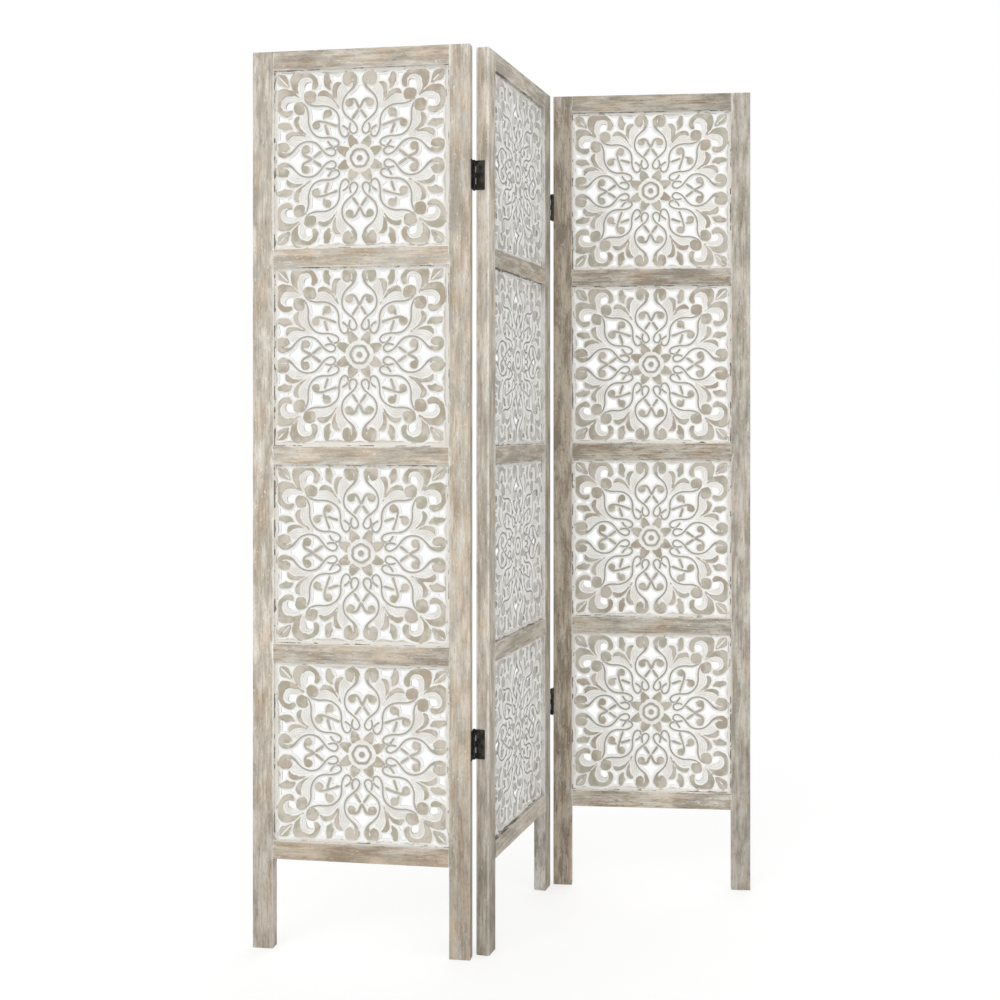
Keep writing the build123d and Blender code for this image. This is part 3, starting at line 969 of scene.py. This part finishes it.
class Timber(Finish):
    """The finish of a stile, a rail or a leaf's dowels, and the marks of its grain.

    The seed moves the piece to a stretch of the noise that no other piece has.
    """

    def __init__(self, name, leaf, upright, seed):
        super().__init__(name)
        self.leaf, self.upright = leaf, upright
        sockets = {
            "Vector": self.node("TexCoord", output="Object"),
            "Location": (leaf.middle.x, leaf.middle.y, 0.0),
            "Rotation": (0.0, 0.0, leaf.heading),
        }
        on_leaf = self.node("Mapping", {"vector_type": "TEXTURE"}, sockets)
        self.across, self.depth, self.up = self.parts(on_leaf)
        self.place = self.moved(on_leaf, seed * 1.31, seed * 0.77, seed * 0.53)
        self.broad = self.grain(18.0, 0.4)
        self.tint = self.grain(42.0, 0.35, 5.0, 0.6)
        self.patch = self.grain(70.0, 0.2, 4.0, 0.62)
        self.streak = self.grain(280.0, 0.06, 4.0, 0.6)
        self.pores = self.grain(520.0, 0.22, 3.0, 0.65)
        self.from_side = abs(abs(self.across) - leaf.opening_half)
        self.from_edges = [abs(self.up - height) for height in leaf.opening_edges(name)] + [self.from_side]
        self.from_joints = [abs(self.up - middle_of(rail).z) for rail in leaf.rails] if upright else []

    def grain(self, scale, share, detail=3.0, roughness=0.55):
        """Noise whose spots are 1 / share times longer along the grain than across it."""
        factors = (1.0, 1.0, share) if self.upright else (share, 1.0, 1.0)
        return self.noise(self.stretched(self.place, *factors), scale, detail, roughness)

    def weathered(self, look):
        """Bare wood in grey, greenish and warm patches, light and dark along the grain."""
        lightness = 0.35 * self.streak + 0.65 * self.patch + 0.5 * (self.broad - 0.5)
        lightness = self.step(lightness, 0.5 - look.softness, 0.5 + look.softness)
        grey, green, warm = (self.mix(lightness, *pair) for pair in (grey_wood, green_wood, warm_wood))
        greenish = self.step(self.broad + 0.4 * (self.tint - 0.5), 0.44, 0.6, 0.5, 0.0)
        warmth = self.step(self.tint + 0.6 * look.warmth, 0.48, 0.68)
        warmth = warmth + self.step(self.up, 0.75, 0.1) * look.low_warmth
        return self.mix(0.7 * warmth, self.mix(greenish, grey, green), warm)

    def washed(self, colour):
        """The wood under what is left of the wash: a veil, thicker by the joints, and flecks."""
        near_joint = sum(self.step(distance, 60 * mm, 20 * mm) for distance in self.from_joints)
        veil = self.step(self.patch + 0.3 * (self.streak - 0.5) + 0.05 * near_joint, 0.54, 0.8)
        flecks = self.step(self.grain(330.0, 0.35, 2.0), 0.65, 0.72)
        return self.mix(0.6 * flecks, self.mix(0.5 * veil, colour, veil_white), fleck_white)

    def inside(self):
        """The surfaces that look into an opening."""
        leaf = self.leaf
        sockets = {0: self.node("TexCoord", output="Normal"), 1: leaf.out}
        facing = self.node("VectorMath", {"operation": "DOT_PRODUCT"}, sockets, output="Value")
        inside = self.step(abs(self.across), leaf.opening_half + 6 * mm, leaf.opening_half + 3 * mm)
        inside = inside * self.step(self.up, leaf.bottom, leaf.bottom + 6 * mm)
        inside = inside * self.step(self.up, leaf.top - 6 * mm, leaf.top - 12 * mm)
        return inside * self.step(abs(facing), 0.9, 0.4)

    def white_edges(self, look):
        """Wash that stays along the edges round the openings, and on whitened outer corners."""
        white = sum(self.step(distance, 2.2 * mm, 0.8 * mm) for distance in self.from_edges)
        white = white * self.step(self.tint + 0.4 * (self.patch - 0.5), 0.4, 0.54)
        if look.white_corners:
            from_face = abs(abs(self.depth) - self.leaf.half_thickness)
            from_corner = abs(abs(self.across) - self.leaf.half_width).larger(from_face)
            corner = self.step(from_corner, 4.5 * mm, 2 * mm)
            white = white + corner * self.step(self.tint, 0.4, 0.55, 0.3, 1.0)
        return white

    def white_joints(self):
        """Wash that fills the joints of a stile with the rails."""
        filled = sum(self.step(distance, 24 * mm, 16 * mm) for distance in self.from_joints)
        filled = filled * self.step(self.from_side + 6 * mm * (self.patch - 0.5), 7.5 * mm, 2 * mm)
        return filled * self.step(self.tint + 0.5 * (self.patch - 0.5), 0.42, 0.56, 0.1, 1.0)

    def shade(self, look):
        """The piece's tone, with its pores, dark fibres and nicks, and its darker foot."""
        fibres = self.step(self.grain(460.0, 0.05), 0.56, 0.68)
        nicks = self.step(self.grain(260.0, 0.35, 3.0, 0.6), 0.56, 0.68)
        crispness = 0.15 / look.softness
        shade = look.tone * (0.82 + 0.5 * self.pores - crispness * (0.22 * fibres + 0.24 * nicks))
        return shade * self.step(self.up, 0.12, 0.5, look.low_tone, 1.0)


def wood_finish(name, leaf, upright, seed, look):
    """Weathered wood under a worn wash, with grain that runs up or across the leaf."""
    wood = Timber(name, leaf, upright, seed)
    colour = wood.washed(wood.weathered(look))
    inside = wood.inside()
    cover = 0.5 * wood.white_edges(look) + 0.45 * wood.white_joints()
    # The faces into the openings painted dark brown as shade, where the look asks for it.
    if look.bare_inside:
        colour = wood.mix(0.85 * inside, colour, inside_shade_brown)
    else:
        cover = cover + inside * wood.step(wood.patch, 0.3, 0.55, 0.4, 0.8)
    colour = wood.mix(cover, colour, edge_white)
    wood.set(
        Base_Color=wood.shaded(colour, wood.shade(look)),
        Roughness=0.82 - 0.12 * wood.streak,
        Normal=wood.bump(wood.pores + 0.8 * wood.streak, 0.6 * mm, 0.6),
        Specular_IOR_Level=0.25,
    )
    return wood.material


def steel_finish(name, seed):
    """Blackened steel, rubbed a little in patches."""
    steel = Finish(name)
    place = steel.moved(steel.node("TexCoord", output="Object"), seed, 0.0, 0.0)
    blotch = steel.noise(place, 90.0, 4.0, 0.6)
    speck = steel.noise(place, 900.0, 3.0, 0.6)
    rubbed = steel.step(blotch + 0.25 * (speck - 0.5), 0.4, 0.7)
    steel.set(
        Base_Color=steel.mix(rubbed, steel_black, steel_rubbed),
        Roughness=0.42 + 0.25 * blotch,
        Normal=steel.bump(speck, 0.2 * mm, 0.4),
        Metallic=0.6,
    )
    return steel.material


# ---- The pieces ----


def assign(node, material):
    """Gives a carried-over piece its finish."""
    mesh = nodes[node].data
    mesh.materials.clear()
    mesh.materials.append(material)


def add_object(name, data):
    """A new object in the scene."""
    thing = bpy.data.objects.new(name, data)
    bpy.context.scene.collection.objects.link(thing)
    return thing


def add_panels():
    """Twelve carved boards, cut by the same pattern and each fitted by hand."""
    first = leaves[0]  # all the panels are of one size
    low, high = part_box(first.panels[0])
    flat_unit = first.opening_half / panel_half
    thick_unit = first.panel_half_thickness / board_half_thickness
    board_half = (high[2] - low[2]) / 2 / flat_unit
    carving = Carving(board_half + table_margin)
    boards = [(leaf, node) for leaf in leaves for node in leaf.panels]
    for seed, (leaf, node) in enumerate(boards):
        name = node.replace("panel", "carving")
        cut = HandCut(carving, pattern_slips.get(name, (0.0, 0.0)), name in turned_boards, seed)
        mesh = board_mesh(name, cut, board_half, flat_unit, thick_unit)
        mesh.materials.append(panel_finish(name, leaf, 1.0 + seed, panel_looks[leaf.side]))
        board = add_object(name, mesh)
        axes = Matrix((leaf.across, upward, leaf.out)).transposed().to_4x4()
        board.matrix_world = Matrix.Translation(middle_of(node)) @ axes
        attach(board, leaf.body)
        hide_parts(node)


def finish_frames():
    """The stiles and rails, each sawn from wood of its own, and the dowels."""
    for row, leaf in enumerate(leaves):
        # The middle leaf's rails and dowels get painted shade on their faces into the openings.
        plain = WoodLook(bare_inside=leaf.side == "middle")
        for column, node in enumerate(leaf.stiles + leaf.rails):
            seed = 3.0 + 8 * row + column
            look = wood_looks.get(node, plain)
            assign(node, wood_finish(node, leaf, node in leaf.stiles, seed, look))
        dowels = leaf.body + "_dowels"
        assign(dowels, wood_finish(dowels, leaf, False, 40.0 + row, plain))


def finish_hinges():
    """Dark plates, pins and screws."""
    steel_nodes = [node for node in nodes if "hinge" in node or "screws" in node]
    for seed, node in enumerate(steel_nodes, 1):
        assign(node, steel_finish(node, float(seed)))


# ---- The room ----

floor_reach = 14.0
floor_bounce = 0.8  # how much light the floor throws on the screen
floor_shadow = 0.4  # how much of the floor as it is seen takes shadow
floor_glow = 0.655  # the rest of its white
room_light = 0.62
lamps = (  # name, the way it shines, its spread in degrees, strength
    ("key_lamp", (0.55, 1.0, -0.62), 50.0, 0.95),
    ("fill_lamp", (-0.7, 1.0, -0.3), 70.0, 0.5),
    ("back_lamp", (-0.3, -1.0, -0.6), 60.0, 0.8),
)


def add_floor():
    """A wide pale floor that shows the screen's shadow."""
    mesh = bpy.data.meshes.new("floor")
    signs = ((-1, -1), (1, -1), (1, 1), (-1, 1))
    mesh.from_pydata([(x * floor_reach, y * floor_reach, 0) for x, y in signs], [], [(0, 1, 2, 3)])
    floor = add_object("floor", mesh)
    finish = Finish("floor")
    finish.tree.nodes.remove(finish.shader)
    lit = finish.node("BsdfDiffuse", {}, {"Color": even(floor_bounce)})
    shadowed = finish.node("BsdfDiffuse", {}, {"Color": even(floor_shadow)})
    glow = finish.node("Emission", {}, {"Color": even(1.0), "Strength": floor_glow})
    shown = finish.node("AddShader", {}, {0: shadowed, 1: glow})
    surface = finish.node("MixShader", {}, {0: finish.background_rays(), 1: lit, 2: shown})
    finish.feed(finish.tree.nodes["Material Output"].inputs["Surface"], surface)
    mesh.materials.append(finish.material)


def light_the_room():
    """Even white light, a little stronger from the upper left in front."""
    world = bpy.data.worlds.new("room")
    bpy.context.scene.world = world
    room = Shading(world)
    room.tree.nodes.remove(room.tree.nodes["Background"])
    soft = room.node("Background", {}, {"Color": even(1.0), "Strength": room_light})
    white = room.node("Background", {}, {"Color": even(1.0), "Strength": 1.0})
    shown = room.node("MixShader", {}, {0: room.background_rays(), 1: soft, 2: white})
    room.feed(room.tree.nodes["World Output"].inputs["Surface"], shown)
    for name, direction, spread, strength in lamps:
        lamp = bpy.data.lights.new(name, "SUN")
        lamp.angle = math.radians(spread)
        lamp.energy = strength
        turned = Vector(direction).to_track_quat("-Z", "Y").to_euler()
        add_object(name, lamp).rotation_euler = turned


def add_camera():
    """Level, at a standing person's chest, with the screen's far leaf in view."""
    camera = bpy.data.cameras.new("camera")
    camera.lens = 50.14
    camera.sensor_width = 36.0
    camera.shift_x = -0.0059
    camera.shift_y = -0.0795
    eye = add_object("camera", camera)
    eye.location = (-0.0210, -2.8058, 1.0009)
    eye.rotation_euler = (math.radians(90), 0.0, 0.0)
    bpy.context.scene.camera = eye


add_camera()
light_the_room()
add_floor()
finish_frames()
finish_hinges()
add_panels()
bpy.context.scene.view_settings.view_transform = "Standard"
